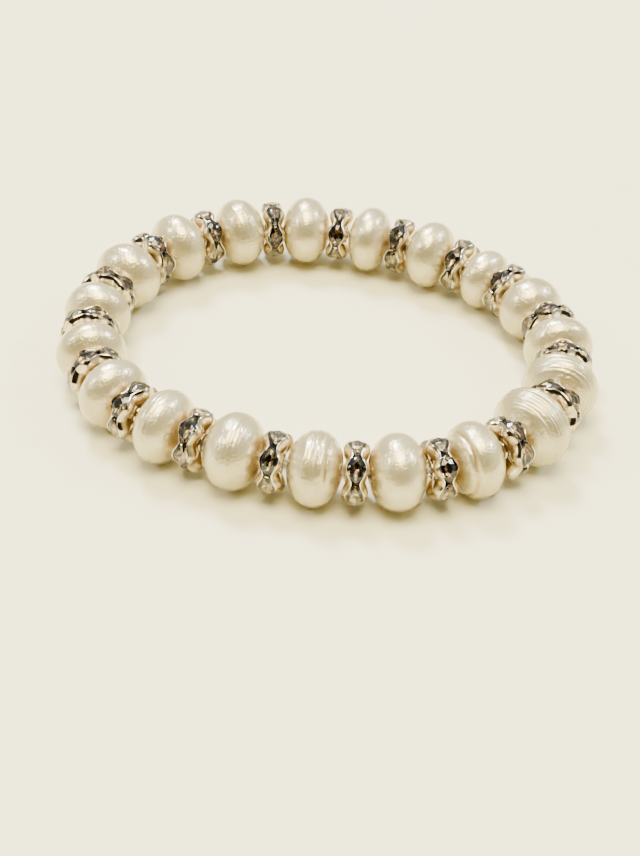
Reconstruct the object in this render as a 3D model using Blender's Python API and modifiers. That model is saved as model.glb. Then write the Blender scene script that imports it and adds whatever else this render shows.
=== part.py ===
"""Stretch bracelet of freshwater pearls and wavy rhinestone rondelles, lying as a closed loop.

Metres, +Z up. Every pearl rests on z = 0, and the middle of the bracelet's outline is at the origin.
The beads are rigid and follow each other along the loop: each pearl spans a chord of the loop from pole to
pole, and a rondelle stands between every two pearls. The elastic cord runs pole to pole through them all.
"""
from bisect import bisect_right
from math import cos, pi, radians, sin, tan
from typing import NamedTuple

import bmesh
import bpy
import numpy as np
from mathutils import Matrix, Vector

MM = 0.001

# Rondelle: a soldered metal piece, two domed cups on a hub, with stones set between their lips
HUB_DIAMETER = 2.6 * MM
HUB_THICKNESS = 2.6 * MM
RONDELLE_HOLE = 1.5 * MM
BELLY_DIAMETER = 6.1 * MM
BELLY_THICKNESS = 3.1 * MM
RIM_DIAMETER = 8.0 * MM
LIP_THICKNESS = 2.5 * MM
LIP_WALL = 0.25 * MM
NECK_BELLY_THICKNESS = 1.7 * MM
NECK_DIAMETER = 7.4 * MM
NECK_LIP_THICKNESS = 1.15 * MM

# Stone: a brilliant that shows its crown and table between the lips, soldered to them
STONES = 6
STONE_FACETS = 8
STONE_LENGTH = 2.8 * MM
STONE_EDGE_GAP = 0.08 * MM
TABLE_SHARE = 0.5
CROWN_HEIGHT = 0.5 * MM
STONE_PROUD = 0.1 * MM
SHARP_ANGLE = radians(25.0)

# Pearl: turned about the string, drilled from pole to pole, with a flat facet underneath
PEARL_SIDES = 12
PEARL_HOLE = 1.1 * MM
PEARL_ROUNDNESS = 2.1

# String: how the beads meet, and the elastic that carries them
CORD_DIAMETER = 0.7 * MM
CORD_RESOLUTION = 1
BEAD_CLEARANCE = 0.12 * MM
STRING_BEND = radians(11.0)


class Station(NamedTuple):
    """One ring of a pearl's outline: its place from pole to pole, -1 to 1, and its swell in radii."""

    place: float
    swell: float


class Pearl(NamedTuple):
    """One pearl of the string: across and along the drill hole in millimetres, and its outline."""

    diameter: float
    length: float
    form: str


# Half width of the belt on which every pearl has its full diameter, as a share of its half length
BELT = 0.16

FORMS = {
    "smooth": (
        Station(-0.93, 0.0), Station(-0.74, 0.0), Station(-0.47, 0.0), Station(-BELT, 0.0),
        Station(BELT, 0.0), Station(0.47, 0.0), Station(0.74, 0.0), Station(0.93, 0.0),
    ),
    "ringed": (
        Station(-0.93, 0.0), Station(-0.76, -0.01), Station(-0.64, 0.02), Station(-0.52, -0.01),
        Station(-0.40, 0.015), Station(-0.28, -0.01), Station(-BELT, 0.0), Station(BELT, 0.0),
        Station(0.28, -0.01), Station(0.40, 0.015), Station(0.52, -0.01), Station(0.64, 0.02),
        Station(0.76, -0.01), Station(0.93, 0.0),
    ),
    "flanged": (
        Station(-0.93, 0.0), Station(-0.80, 0.03), Station(-0.68, 0.03), Station(-0.60, -0.02),
        Station(-0.42, 0.0), Station(-BELT, 0.0), Station(BELT, 0.0), Station(0.47, 0.0),
        Station(0.74, 0.0), Station(0.93, 0.0),
    ),
    "wrinkled": (
        Station(-0.93, 0.0), Station(-0.72, 0.015), Station(-0.52, -0.02), Station(-0.34, 0.0),
        Station(-BELT, 0.0), Station(BELT, 0.0), Station(0.30, -0.015), Station(0.50, 0.015),
        Station(0.74, -0.01), Station(0.93, 0.0),
    ),
}

PEARLS = (
    Pearl(10.0, 7.4, "smooth"), Pearl(10.1, 6.8, "flanged"), Pearl(10.9, 7.3, "ringed"),
    Pearl(10.3, 6.9, "ringed"), Pearl(9.7, 6.5, "smooth"), Pearl(9.5, 7.7, "smooth"),
    Pearl(9.0, 5.9, "smooth"), Pearl(10.0, 6.9, "smooth"), Pearl(9.9, 6.4, "smooth"),
    Pearl(10.1, 7.2, "smooth"), Pearl(10.1, 7.4, "smooth"), Pearl(10.2, 7.1, "smooth"),
    Pearl(9.9, 7.7, "smooth"), Pearl(9.5, 6.8, "smooth"), Pearl(9.5, 6.8, "smooth"),
    Pearl(9.8, 6.6, "smooth"), Pearl(10.1, 6.5, "flanged"), Pearl(10.1, 7.6, "smooth"),
    Pearl(9.8, 7.1, "wrinkled"),
)

# How far each rondelle is turned about the string, in degrees from inwards towards up
RONDELLE_TURNS = (19, 45, 17, 22, 16, 53, 45, 56, 27, 11, 48, 9, 38, 12, 56, 14, 1, 20, 30)

# The loop's route, seen from above and running counter-clockwise from the middle of the first pearl.
# Only its shape counts: the string's own length sets its size.
ROUTE = (
    (10.0, -28.0), (24.5, -21.5), (32.5, -7.5), (31.0, 8.5), (21.0, 20.5), (6.0, 27.5),
    (-10.0, 28.5), (-24.0, 21.0), (-32.0, 7.0), (-31.0, -9.5), (-21.0, -21.0), (-6.0, -27.0),
)
ROUTE_STEPS = 60


def make_material(name, colour, roughness, metallic=0.0, coat=0.0, transmission=0.0, ior=1.5):
    """Make a Principled material."""
    material = bpy.data.materials.new(name)
    material.use_nodes = True
    material.diffuse_color = (*colour, 1.0)
    shader = material.node_tree.nodes["Principled BSDF"]
    shader.inputs["Base Color"].default_value = (*colour, 1.0)
    shader.inputs["Roughness"].default_value = roughness
    shader.inputs["Metallic"].default_value = metallic
    shader.inputs["Coat Weight"].default_value = coat
    shader.inputs["Transmission Weight"].default_value = transmission
    shader.inputs["IOR"].default_value = ior
    return material


def mesh_object(name, shape, collection, *materials):
    """Wrap a bmesh in a named object of the collection."""
    mesh = bpy.data.meshes.new(name)
    shape.to_mesh(mesh)
    shape.free()
    for material in materials:
        mesh.materials.append(material)
    thing = bpy.data.objects.new(name, mesh)
    collection.objects.link(thing)
    return thing


# The loop and the places of the beads on it

def smooth_loop():
    """Return a fine closed polyline through the route's points, a closed cubic spline."""
    route = np.array(ROUTE)
    count = len(route)
    ahead = np.roll(route, -1, axis=0)
    behind = np.roll(route, 1, axis=0)
    ring = np.eye(count)
    weights = 4 * ring + np.roll(ring, 1, axis=0) + np.roll(ring, -1, axis=0)
    slopes = np.linalg.solve(weights, 3 * (ahead - behind))
    next_slopes = np.roll(slopes, -1, axis=0)
    fine = []
    for p, q, m, n in zip(route, ahead, slopes, next_slopes):
        for t in np.arange(ROUTE_STEPS) / ROUTE_STEPS:
            point = (p * (1 + 2 * t) * (1 - t) ** 2 + m * t * (1 - t) ** 2
                     + q * (3 - 2 * t) * t ** 2 - n * (1 - t) * t ** 2)
            fine.append(Vector(point) * MM)
    return fine


class Loop:
    """The route, scaled to a given length, with points read from it by distance."""

    def __init__(self, length):
        fine = smooth_loop()
        self.reach = [0.0]
        for start, end in zip(fine, fine[1:] + fine[:1]):
            self.reach.append(self.reach[-1] + (end - start).length)
        scale = length / self.reach[-1]
        self.points = [point * scale for point in fine]
        self.reach = [distance * scale for distance in self.reach]
        self.length = length

    def at(self, distance):
        """Return the point at a distance along the loop."""
        distance %= self.length
        i = min(bisect_right(self.reach, distance) - 1, len(self.points) - 1)
        share = (distance - self.reach[i]) / (self.reach[i + 1] - self.reach[i])
        return self.points[i].lerp(self.points[(i + 1) % len(self.points)], share)


def pearl_recess(pearl, radius):
    """Return how far a pearl's surface lies behind its pole at a radius from the string.

    Beyond the pearl's own radius it is the pearl's widest circle that counts.
    """
    half = pearl.length * MM / 2
    share = min(radius / (pearl.diameter * MM / 2), 1.0)
    return half - half * (1 - share ** PEARL_ROUNDNESS) ** (1 / PEARL_ROUNDNESS)


def stand_off(pearl):
    """Return the distance from a pearl's pole to the middle of the rondelle beside it."""
    contacts = (
        (HUB_DIAMETER / 2, HUB_THICKNESS / 2),
        (BELLY_DIAMETER / 2, BELLY_THICKNESS / 2),
        (RIM_DIAMETER / 2, LIP_THICKNESS / 2),
    )
    return max(half_thickness + radius * tan(STRING_BEND) + BEAD_CLEARANCE - pearl_recess(pearl, radius)
               for radius, half_thickness in contacts)


class Bead(NamedTuple):
    """Where a bead sits: its middle and the level direction of the string through it."""

    middle: Vector
    along: Vector


def place_beads():
    """Return the places of the pearls and of the rondelles that follow them."""
    rooms = [stand_off(pearl) + stand_off(after) for pearl, after in zip(PEARLS, PEARLS[1:] + PEARLS[:1])]
    loop = Loop(sum(pearl.length * MM for pearl in PEARLS) + sum(rooms))
    pearls = []
    distance = -PEARLS[0].length * MM / 2
    for pearl, room in zip(PEARLS, rooms):
        start = loop.at(distance)
        end = loop.at(distance + pearl.length * MM)
        middle = (start + end) / 2
        pearls.append(Bead(Vector((*middle, pearl.diameter * MM / 2)), (end - start).to_3d().normalized()))
        distance += pearl.length * MM + room
    rondelles = []
    for i, bead in enumerate(pearls):
        after = (i + 1) % len(pearls)
        leave = pole(bead, PEARLS[i], 1)
        enter = pole(pearls[after], PEARLS[after], -1)
        share = stand_off(PEARLS[i]) / rooms[i]
        middle = leave.lerp(enter, share)
        middle.z = (leave.z + enter.z) / 2
        along = enter - leave
        along.z = 0.0
        rondelles.append(Bead(middle, along.normalized()))
    return pearls, rondelles


def pole(bead, pearl, side):
    """Return a pearl's end point on the string, ahead of it for side 1 and behind it for side -1."""
    return bead.middle + bead.along * (side * pearl.length * MM / 2)


def bead_matrix(bead, turn):
    """Return the matrix that lays local Z along the string, with local X inwards before the turn."""
    up = Vector((0.0, 0.0, 1.0))
    inward = up.cross(bead.along)
    axes = Matrix((inward, up, bead.along)).transposed().to_4x4()
    return Matrix.Translation(bead.middle) @ axes @ Matrix.Rotation(turn, 4, "Z")


# Pearls

def pearl_outline(pearl):
    """Return a pearl's half section as radius and height, down its outer side and back up its hole."""
    half = pearl.length * MM / 2
    radius = pearl.diameter * MM / 2 / cos(pi / PEARL_SIDES)
    hole = PEARL_HOLE / 2
    outer = []
    for station in FORMS[pearl.form]:
        round_share = (1 - abs(station.place) ** PEARL_ROUNDNESS) ** (1 / PEARL_ROUNDNESS)
        share = 1.0 if abs(station.place) <= BELT else round_share + station.swell
        outer.append((radius * share, half * station.place))
    return [(hole, half)] + outer[::-1] + [(hole, -half)]


def make_pearl(name, pearl, bead, material, collection):
    """Make one drilled pearl with a facet of its belt flat on the ground."""
    shape = bmesh.new()
    corners = [shape.verts.new((radius, 0.0, height)) for radius, height in pearl_outline(pearl)]
    for start, end in zip(corners, corners[1:] + corners[:1]):
        shape.edges.new((start, end))
    thing = mesh_object(name, shape, collection, material)
    turning = thing.modifiers.new("turned", "SCREW")
    turning.axis = "Z"
    turning.steps = PEARL_SIDES
    turning.render_steps = PEARL_SIDES
    turning.use_smooth_shade = True
    thing.matrix_local = bead_matrix(bead, pi / PEARL_SIDES)
    return thing


# Rondelles

def cup_section(belly, lip, rim):
    """Return a closed section of the setting as radius and height, for its thicknesses and its rim."""
    upper = [
        (RONDELLE_HOLE / 2, HUB_THICKNESS / 2),
        (HUB_DIAMETER / 2, HUB_THICKNESS / 2),
        (BELLY_DIAMETER / 2, belly / 2),
        (rim / 2, lip / 2),
    ]
    lower = [(radius, -height) for radius, height in reversed(upper)]
    return upper + lower


def loft_setting(shape):
    """Loft the wavy metal body round its hole, and return its rings, a stone's and a neck's in turn.

    It stays open between the lips, for the stones to close.
    """
    at_stone = cup_section(BELLY_THICKNESS, LIP_THICKNESS, RIM_DIAMETER)
    at_neck = cup_section(NECK_BELLY_THICKNESS, NECK_LIP_THICKNESS, NECK_DIAMETER)
    lip = len(at_stone) // 2 - 1
    rings = []
    for i in range(2 * STONES):
        angle = pi * i / STONES
        section = at_neck if i % 2 else at_stone
        rings.append([shape.verts.new((radius * cos(angle), radius * sin(angle), height))
                      for radius, height in section])
    for ring, after in zip(rings, rings[1:] + rings[:1]):
        for k in range(len(ring)):
            m = (k + 1) % len(ring)
            if k != lip:
                shape.faces.new((ring[k], after[k], after[m], ring[m]))
    return rings, lip


def stone_ring(shape, turn, height, share):
    """Add one level ring of a stone's facets at a height from the string, its size a share of the girdle."""
    width = LIP_THICKNESS - 2 * LIP_WALL - 2 * STONE_EDGE_GAP
    ring = []
    for k in range(STONE_FACETS):
        angle = 2 * pi * (k + 0.5) / STONE_FACETS
        across = share * STONE_LENGTH / 2 * cos(angle) / cos(pi / STONE_FACETS)
        along = share * width / 2 * sin(angle) / cos(pi / STONE_FACETS)
        place = Matrix.Rotation(turn, 3, "Z") @ Vector((height, across, along))
        ring.append(shape.verts.new(place))
    return ring


def closed_edges(shape, ring):
    """Return the edges of a closed ring of corners, adding those that aren't there yet."""
    pairs = zip(ring, ring[1:] + ring[:1])
    return [shape.edges.get(pair) or shape.edges.new(pair) for pair in pairs]


def set_stone(shape, rings, lip, number):
    """Close the lips round one stone with the stone: its setting edge, its crown facets and its table."""
    before, middle, after = (rings[(2 * number + k) % len(rings)] for k in (-1, 0, 1))
    outline = [before[lip], middle[lip], after[lip], after[lip + 1], middle[lip + 1], before[lip + 1]]
    turn = 2 * pi * number / STONES
    table_height = RIM_DIAMETER / 2 + STONE_PROUD
    girdle = stone_ring(shape, turn, table_height - CROWN_HEIGHT, 1.0)
    table = stone_ring(shape, turn, table_height, TABLE_SHARE)
    rounds = [closed_edges(shape, ring) for ring in (outline, girdle, table)]
    bmesh.ops.bridge_loops(shape, edges=rounds[0] + rounds[1])
    crown = bmesh.ops.bridge_loops(shape, edges=rounds[1] + rounds[2])["faces"]
    crown.append(shape.faces.new(table))
    for face in crown:
        face.material_index = 1


def make_rondelle_mesh(silver, crystal):
    """Return the mesh of one rondelle: a soldered setting with its stones fused between its lips."""
    shape = bmesh.new()
    rings, lip = loft_setting(shape)
    for number in range(STONES):
        set_stone(shape, rings, lip, number)
    bmesh.ops.recalc_face_normals(shape, faces=shape.faces)
    bmesh.ops.triangulate(shape, faces=shape.faces)
    mesh = bpy.data.meshes.new("rondelle")
    shape.to_mesh(mesh)
    shape.free()
    for material in (silver, crystal):
        mesh.materials.append(material)
    mesh.shade_smooth()
    mesh.set_sharp_from_angle(angle=SHARP_ANGLE)
    return mesh


# The string

def make_cord(pearls, material, collection):
    """Make the elastic as a closed tube through the poles of every pearl."""
    curve = bpy.data.curves.new("elastic_cord", "CURVE")
    curve.dimensions = "3D"
    curve.bevel_depth = CORD_DIAMETER / 2
    curve.bevel_resolution = CORD_RESOLUTION
    curve.materials.append(material)
    spline = curve.splines.new("POLY")
    route = [pole(bead, pearl, side) for bead, pearl in zip(pearls, PEARLS) for side in (-1, 1)]
    spline.points.add(len(route) - 1)
    for point, place in zip(spline.points, route):
        point.co = (*place, 1.0)
    spline.use_cyclic_u = True
    thing = bpy.data.objects.new("elastic_cord", curve)
    collection.objects.link(thing)
    return thing


def centre_outline(root, things):
    """Move the root so that the outline of its parts, seen from above, is centred on the origin."""
    bpy.context.view_layer.update()
    graph = bpy.context.evaluated_depsgraph_get()
    corners = []
    for thing in things:
        evaluated = thing.evaluated_get(graph)
        mesh = evaluated.to_mesh()
        corners += [evaluated.matrix_world @ vertex.co for vertex in mesh.vertices]
        evaluated.to_mesh_clear()
    middle = [(min(corner[axis] for corner in corners) + max(corner[axis] for corner in corners)) / 2
              for axis in (0, 1)]
    root.location = (-middle[0], -middle[1], 0.0)
    bpy.context.view_layer.update()


def main():
    """Build the bracelet."""
    for thing in list(bpy.data.objects):
        bpy.data.objects.remove(thing, do_unlink=True)
    parts = bpy.data.collections.new("pearl_bracelet")
    bpy.context.scene.collection.children.link(parts)
    nacre = make_material("nacre", (0.88, 0.82, 0.70), 0.18, coat=0.6)
    silver = make_material("silver_plate", (0.86, 0.84, 0.80), 0.15, metallic=1.0)
    crystal = make_material("rhinestone", (0.80, 0.78, 0.74), 0.02, transmission=0.6, ior=1.65)
    elastic = make_material("clear_elastic", (0.86, 0.84, 0.78), 0.25)

    pearls, rondelles = place_beads()
    root = bpy.data.objects.new("bracelet", None)
    parts.objects.link(root)
    things = [make_cord(pearls, elastic, parts)]
    for number, (pearl, bead) in enumerate(zip(PEARLS, pearls), 1):
        things.append(make_pearl(f"pearl_{number:02d}", pearl, bead, nacre, parts))
    rondelle_mesh = make_rondelle_mesh(silver, crystal)
    for number, (turn, bead) in enumerate(zip(RONDELLE_TURNS, rondelles), 1):
        rondelle = bpy.data.objects.new(f"rondelle_{number:02d}", rondelle_mesh)
        rondelle.matrix_local = bead_matrix(bead, radians(turn))
        parts.objects.link(rondelle)
        things.append(rondelle)
    for thing in things:
        thing.parent = root
    centre_outline(root, things)


main()
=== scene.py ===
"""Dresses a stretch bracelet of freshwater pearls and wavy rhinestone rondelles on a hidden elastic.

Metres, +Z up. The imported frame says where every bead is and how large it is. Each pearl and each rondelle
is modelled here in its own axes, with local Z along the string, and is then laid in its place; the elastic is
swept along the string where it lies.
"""

import logging
from collections.abc import Callable, Iterator
from contextlib import contextmanager
from dataclasses import dataclass, field, replace
from enum import Enum
from math import atan, cos, degrees, pi, radians, sin

import bmesh
import bpy
import numpy as np
from mathutils import Matrix, Vector


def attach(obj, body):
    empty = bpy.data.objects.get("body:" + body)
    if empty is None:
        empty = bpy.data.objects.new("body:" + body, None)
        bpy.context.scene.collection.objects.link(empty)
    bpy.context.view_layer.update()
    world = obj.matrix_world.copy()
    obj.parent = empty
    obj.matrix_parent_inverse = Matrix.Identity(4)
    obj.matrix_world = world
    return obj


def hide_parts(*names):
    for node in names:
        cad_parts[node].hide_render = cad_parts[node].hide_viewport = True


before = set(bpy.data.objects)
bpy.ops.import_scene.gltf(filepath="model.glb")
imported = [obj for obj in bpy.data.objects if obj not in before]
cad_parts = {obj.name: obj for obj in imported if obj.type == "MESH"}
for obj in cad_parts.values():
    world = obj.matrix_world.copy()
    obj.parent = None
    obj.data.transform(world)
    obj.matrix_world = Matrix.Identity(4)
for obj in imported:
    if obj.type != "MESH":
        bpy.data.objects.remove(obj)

MM = 0.001
UP = Vector((0.0, 0.0, 1.0))
WELD = 0.0005 * MM
ON_THE_FLOOR = 0.001 * MM
OUTERMOST = 0.01 * MM
CORNER_DIGITS = 8
BUMP_HEIGHT = 0.02 * MM

Colour = tuple[float, float, float]
Value = float | bpy.types.NodeSocket
Tint = Colour | bpy.types.NodeSocket
MeshPart = bmesh.types.BMVert | bmesh.types.BMEdge | bmesh.types.BMFace

logging.basicConfig(level=logging.INFO, format="%(levelname)s %(message)s")
log = logging.getLogger("pearl_bracelet")


# The workbench: modelling as by hand

def put_down() -> None:
    """Leave edit mode and deselect everything."""
    if bpy.context.object and bpy.context.object.mode != "OBJECT":
        bpy.ops.object.mode_set(mode="OBJECT")
    bpy.ops.object.select_all(action="DESELECT")


def take(*things: bpy.types.Object) -> None:
    """Select only these objects and make the first one active."""
    put_down()
    for thing in things:
        thing.select_set(True)
    bpy.context.view_layer.objects.active = things[0]


@contextmanager
def editing(thing: bpy.types.Object) -> Iterator[None]:
    """Hold an object in edit mode, with nothing selected and corners to be picked."""
    take(thing)
    bpy.ops.object.mode_set(mode="EDIT")
    bpy.ops.mesh.select_mode(type="VERT")
    bpy.ops.mesh.select_all(action="DESELECT")
    yield
    bpy.ops.object.mode_set(mode="OBJECT")


def pick(thing: bpy.types.Object, kind: str, wanted: Callable[[MeshPart], bool]) -> None:
    """In edit mode, select the corners, edges or faces that pass a test, and only those.

    Args:
        thing: the object that is being edited.
        kind: VERT, EDGE or FACE.
        wanted: says of a corner, an edge or a face whether it is taken.
    """
    bpy.ops.mesh.select_mode(type=kind)
    bpy.ops.mesh.select_all(action="DESELECT")
    shape = bmesh.from_edit_mesh(thing.data)
    for part in {"VERT": shape.verts, "EDGE": shape.edges, "FACE": shape.faces}[kind]:
        if wanted(part):
            part.select_set(True)
    shape.select_flush_mode()
    bmesh.update_edit_mesh(thing.data)


def tidy_skin(thing: bpy.types.Object, apart: float = WELD) -> None:
    """Merge the doubled corners of a closed mesh and turn its faces outwards.

    Args:
        thing: the object.
        apart: how far apart doubled corners may be.
    """
    with editing(thing):
        bpy.ops.mesh.select_all(action="SELECT")
        bpy.ops.mesh.remove_doubles(threshold=apart)
        bpy.ops.mesh.normals_make_consistent(inside=False)


def finish_modifier(thing: bpy.types.Object, name: str) -> None:
    """Apply one modifier of an object."""
    take(thing)
    bpy.ops.object.modifier_apply(modifier=name)


def copy_of(thing: bpy.types.Object, name: str) -> bpy.types.Object:
    """Copy an object together with its own mesh."""
    twin = thing.copy()
    twin.data = thing.data.copy()
    twin.name = name
    twin.data.name = name
    bpy.context.scene.collection.objects.link(twin)
    return twin


def joined(name: str, things: list[bpy.types.Object]) -> bpy.types.Object:
    """Join several objects into the first of them, give it a new name and return it."""
    take(*things)
    bpy.ops.object.join()
    things[0].name = name
    things[0].data.name = name
    return things[0]


def corners(thing: bpy.types.Object) -> np.ndarray:
    """Return the corners of a mesh as rows of x, y and z."""
    flat = np.empty(len(thing.data.vertices) * 3)
    thing.data.vertices.foreach_get("co", flat)
    return flat.reshape(-1, 3)


def move_corners(thing: bpy.types.Object, places: np.ndarray) -> None:
    """Give the corners of a mesh new places."""
    thing.data.vertices.foreach_set("co", places.ravel())
    thing.data.update()


def note(thing: bpy.types.Object, domain: str, name: str, values: np.ndarray) -> None:
    """Store a number at every corner or every face of a mesh, for its material to read.

    Args:
        thing: the object.
        domain: POINT for its corners, FACE for its faces.
        name: the name that the material asks for.
        values: the numbers, in the mesh's own order.
    """
    attribute = thing.data.attributes.new(name, "FLOAT", domain)
    attribute.data.foreach_set("value", values.astype(np.float32))


def discard(thing: bpy.types.Object) -> None:
    """Remove a pattern piece that was only there to be copied."""
    mesh = thing.data
    bpy.data.objects.remove(thing)
    bpy.data.meshes.remove(mesh)


# The beads' places, read from the frame

@dataclass(frozen=True)
class Seat:
    """Where a bead sits on the string.

    Attributes:
        middle: the bead's middle.
        along: the level direction of the string through it, counter-clockwise seen from above.
        turn: how far the bead is turned about the string, from inwards towards up.
        across: the bead's diameter.
        length: the bead's length along the string.
    """

    middle: Vector
    along: Vector
    turn: float
    across: float
    length: float

    def matrix(self) -> Matrix:
        """Return the matrix that lays local Z along the string, X inwards and Y up, before the turn."""
        inward = UP.cross(self.along)
        axes = Matrix((inward, UP, self.along)).transposed().to_4x4()
        return Matrix.Translation(self.middle) @ axes @ Matrix.Rotation(self.turn, 4, "Z")

    def pole(self, side: int) -> Vector:
        """Return the bead's end on the string, ahead of it for side 1 and behind it for side -1."""
        return self.middle + self.along * (side * self.length / 2)


def node_corners(node: str) -> np.ndarray:
    """Return the corners of a node of the frame, each once."""
    return np.unique(np.round(corners(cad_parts[node]), CORNER_DIGITS), axis=0)


def facing_on(along: np.ndarray, middle: np.ndarray) -> Vector:
    """Turn a level direction so that it runs counter-clockwise round the origin."""
    direction = Vector((along[0], along[1], 0.0)).normalized()
    outward = Vector((middle[0], middle[1], 0.0))
    return direction if outward.cross(direction).z > 0.0 else -direction


def pearl_seat(node: str) -> Seat:
    """Read a pearl's seat from its node, by the flat facet that it rests on.

    Args:
        node: the name of the node.

    Returns:
        The seat, with the pearl's diameter and length.
    """
    points = node_corners(node)
    facet = points[points[:, 2] < ON_THE_FLOOR]
    middle = facet.mean(0)
    across = np.linalg.svd(facet[:, :2] - middle[:2])[2][0]
    along = facing_on(np.array((-across[1], across[0])), middle)
    top = points[:, 2].max()
    reach = (points - middle) @ np.array(along)
    return Seat(Vector((middle[0], middle[1], top / 2)), along, 0.0, top, float(np.ptp(reach)))


def rondelle_seat(node: str, stones: int) -> Seat:
    """Read a rondelle's seat from its node, by its thin way and by the places of its outermost stones.

    Args:
        node: the name of the node.
        stones: how many stones the rondelle has.

    Returns:
        The seat, turned so that a stone's middle lies on local X.
    """
    points = node_corners(node)
    middle = points.mean(0)
    along = facing_on(np.linalg.svd(points - middle)[2][2], middle)
    inward = UP.cross(along)
    side = (points - middle) @ np.array(inward)
    rise = points[:, 2] - middle[2]
    reach = np.hypot(side, rise)
    outer = reach > reach.max() - OUTERMOST
    phase = np.exp(1j * stones * np.arctan2(rise[outer], side[outer])).mean()
    thick = float(np.ptp((points - middle) @ np.array(along)))
    return Seat(Vector(middle), along, float(np.angle(phase)) / stones, 2 * float(reach.max()), thick)


# Finishes

class Tree:
    """A node tree that is filled node by node."""

    def __init__(self, tree: bpy.types.NodeTree) -> None:
        """Take hold of a tree."""
        self.tree = tree

    def fill(self, node: bpy.types.Node, inputs: dict[str | int, object]) -> None:
        """Give a node's sockets their values, or link other nodes' outputs to them.

        Args:
            node: the node.
            inputs: what goes into its sockets; a colour is opaque.
        """
        for socket, value in inputs.items():
            if isinstance(value, bpy.types.NodeSocket):
                self.tree.links.new(value, node.inputs[socket])
            elif isinstance(value, tuple):
                node.inputs[socket].default_value = (*value, 1.0)
            else:
                node.inputs[socket].default_value = value

    def add(
        self, kind: str, inputs: dict[str | int, object] | None = None, **settings: object,
    ) -> bpy.types.Node:
        """Add a node.

        Args:
            kind: the node's type.
            inputs: what goes into its sockets, a value or another node's output.
            settings: the node's own settings.

        Returns:
            The node.
        """
        node = self.tree.nodes.new(kind)
        for key, value in settings.items():
            setattr(node, key, value)
        self.fill(node, inputs or {})
        return node

    def math(self, operation: str, *values: Value) -> bpy.types.NodeSocket:
        """Add a Math node and return its result."""
        return self.add("ShaderNodeMath", dict(enumerate(values)), operation=operation).outputs[0]

    def blend(self, share: Value, first: Tint, second: Tint) -> bpy.types.NodeSocket:
        """Add a colour Mix node and return its result."""
        inputs = {0: share, 6: first, 7: second}
        return self.add("ShaderNodeMix", inputs, data_type="RGBA").outputs[2]

    def between(self, value: Value, low: float, high: float) -> bpy.types.NodeSocket:
        """Map a value smoothly from a range to the one from 0 to 1 and return the result."""
        inputs = {"Value": value, "From Min": low, "From Max": high}
        return self.add("ShaderNodeMapRange", inputs, interpolation_type="SMOOTHSTEP").outputs[0]

    def bump(self, height: Value, strength: float) -> bpy.types.NodeSocket:
        """Add a Bump node and return its normal."""
        inputs = {"Height": height, "Strength": strength, "Distance": BUMP_HEIGHT}
        return self.add("ShaderNodeBump", inputs).outputs[0]

    def place(self) -> bpy.types.NodeSocket:
        """Return the object coordinates."""
        return self.add("ShaderNodeTexCoord").outputs["Object"]


class Effect(Enum):
    """The shared node groups, each built once."""

    MOTTLE = "bead mottle"
    GRAIN = "fine grain"
    HOLLOW = "hollow shade"
    FACETS = "facet light"


def new_group(effect: Effect, inputs: dict[str, object], output: tuple[str, str]) -> tuple[Tree, dict, str]:
    """Make an empty shader node group with named sockets.

    Args:
        effect: which group it is.
        inputs: the name and the default of every input; a tuple makes a colour, a float a value.
        output: the kind and the name of the output.

    Returns:
        The tree, its inputs by name, and the output's name.
    """
    group = bpy.data.node_groups.new(effect.value, "ShaderNodeTree")
    for name, default in inputs.items():
        kind = "NodeSocketColor" if isinstance(default, tuple) else "NodeSocketFloat"
        socket = group.interface.new_socket(name, in_out="INPUT", socket_type=kind)
        socket.default_value = (*default, 1.0) if isinstance(default, tuple) else default
    group.interface.new_socket(output[1], in_out="OUTPUT", socket_type=output[0])
    tree = Tree(group)
    entry = tree.add("NodeGroupInput")
    return tree, {name: entry.outputs[name] for name in inputs}, output[1]


def make_mottle() -> None:
    """Build the group that clouds one colour into another, softly and at one size."""
    thin, thick = 0.32, 0.68
    tree, given, name = new_group(
        Effect.MOTTLE, {"Base": (0.8, 0.8, 0.8), "Cloud": (0.7, 0.7, 0.7), "Size": 100.0, "Amount": 1.0},
        ("NodeSocketColor", "Colour"))
    noise = tree.add("ShaderNodeTexNoise", {"Vector": tree.place(), "Scale": given["Size"], "Detail": 3.0})
    share = tree.math("MULTIPLY", tree.between(noise.outputs["Fac"], thin, thick), given["Amount"])
    tree.add("NodeGroupOutput", {name: tree.blend(share, given["Base"], given["Cloud"])})


def make_grain() -> None:
    """Build the group that gives a fine uneven height, for a bump or to vary a gloss."""
    noise_mean = 0.5
    tree, given, name = new_group(
        Effect.GRAIN, {"Size": 1000.0, "Middle": 0.0, "Spread": 1.0}, ("NodeSocketFloat", "Height"))
    noise = tree.add("ShaderNodeTexNoise", {"Vector": tree.place(), "Scale": given["Size"], "Detail": 4.0})
    swing = tree.math("SUBTRACT", noise.outputs["Fac"], noise_mean)
    height = tree.math("MULTIPLY_ADD", swing, given["Spread"], given["Middle"])
    tree.add("NodeGroupOutput", {name: height})


def make_painted_shade() -> None:
    """Build the group that paints shade by the amount noted on a piece's corners: a first shade colour up to
    half, and a deeper one beyond.
    """
    level, shallow, deep = 0.0, 0.5, 1.0
    tree, given, name = new_group(
        Effect.HOLLOW, {"Base": (0.8, 0.8, 0.8), "Shade": (0.4, 0.4, 0.4), "Deep": (0.1, 0.1, 0.1)},
        ("NodeSocketColor", "Colour"))
    noted = tree.add("ShaderNodeAttribute", attribute_name="hollow").outputs["Fac"]
    shaded = tree.blend(tree.between(noted, level, shallow), given["Base"], given["Shade"])
    tree.add("NodeGroupOutput", {name: tree.blend(tree.between(noted, shallow, deep), shaded, given["Deep"])})


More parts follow.
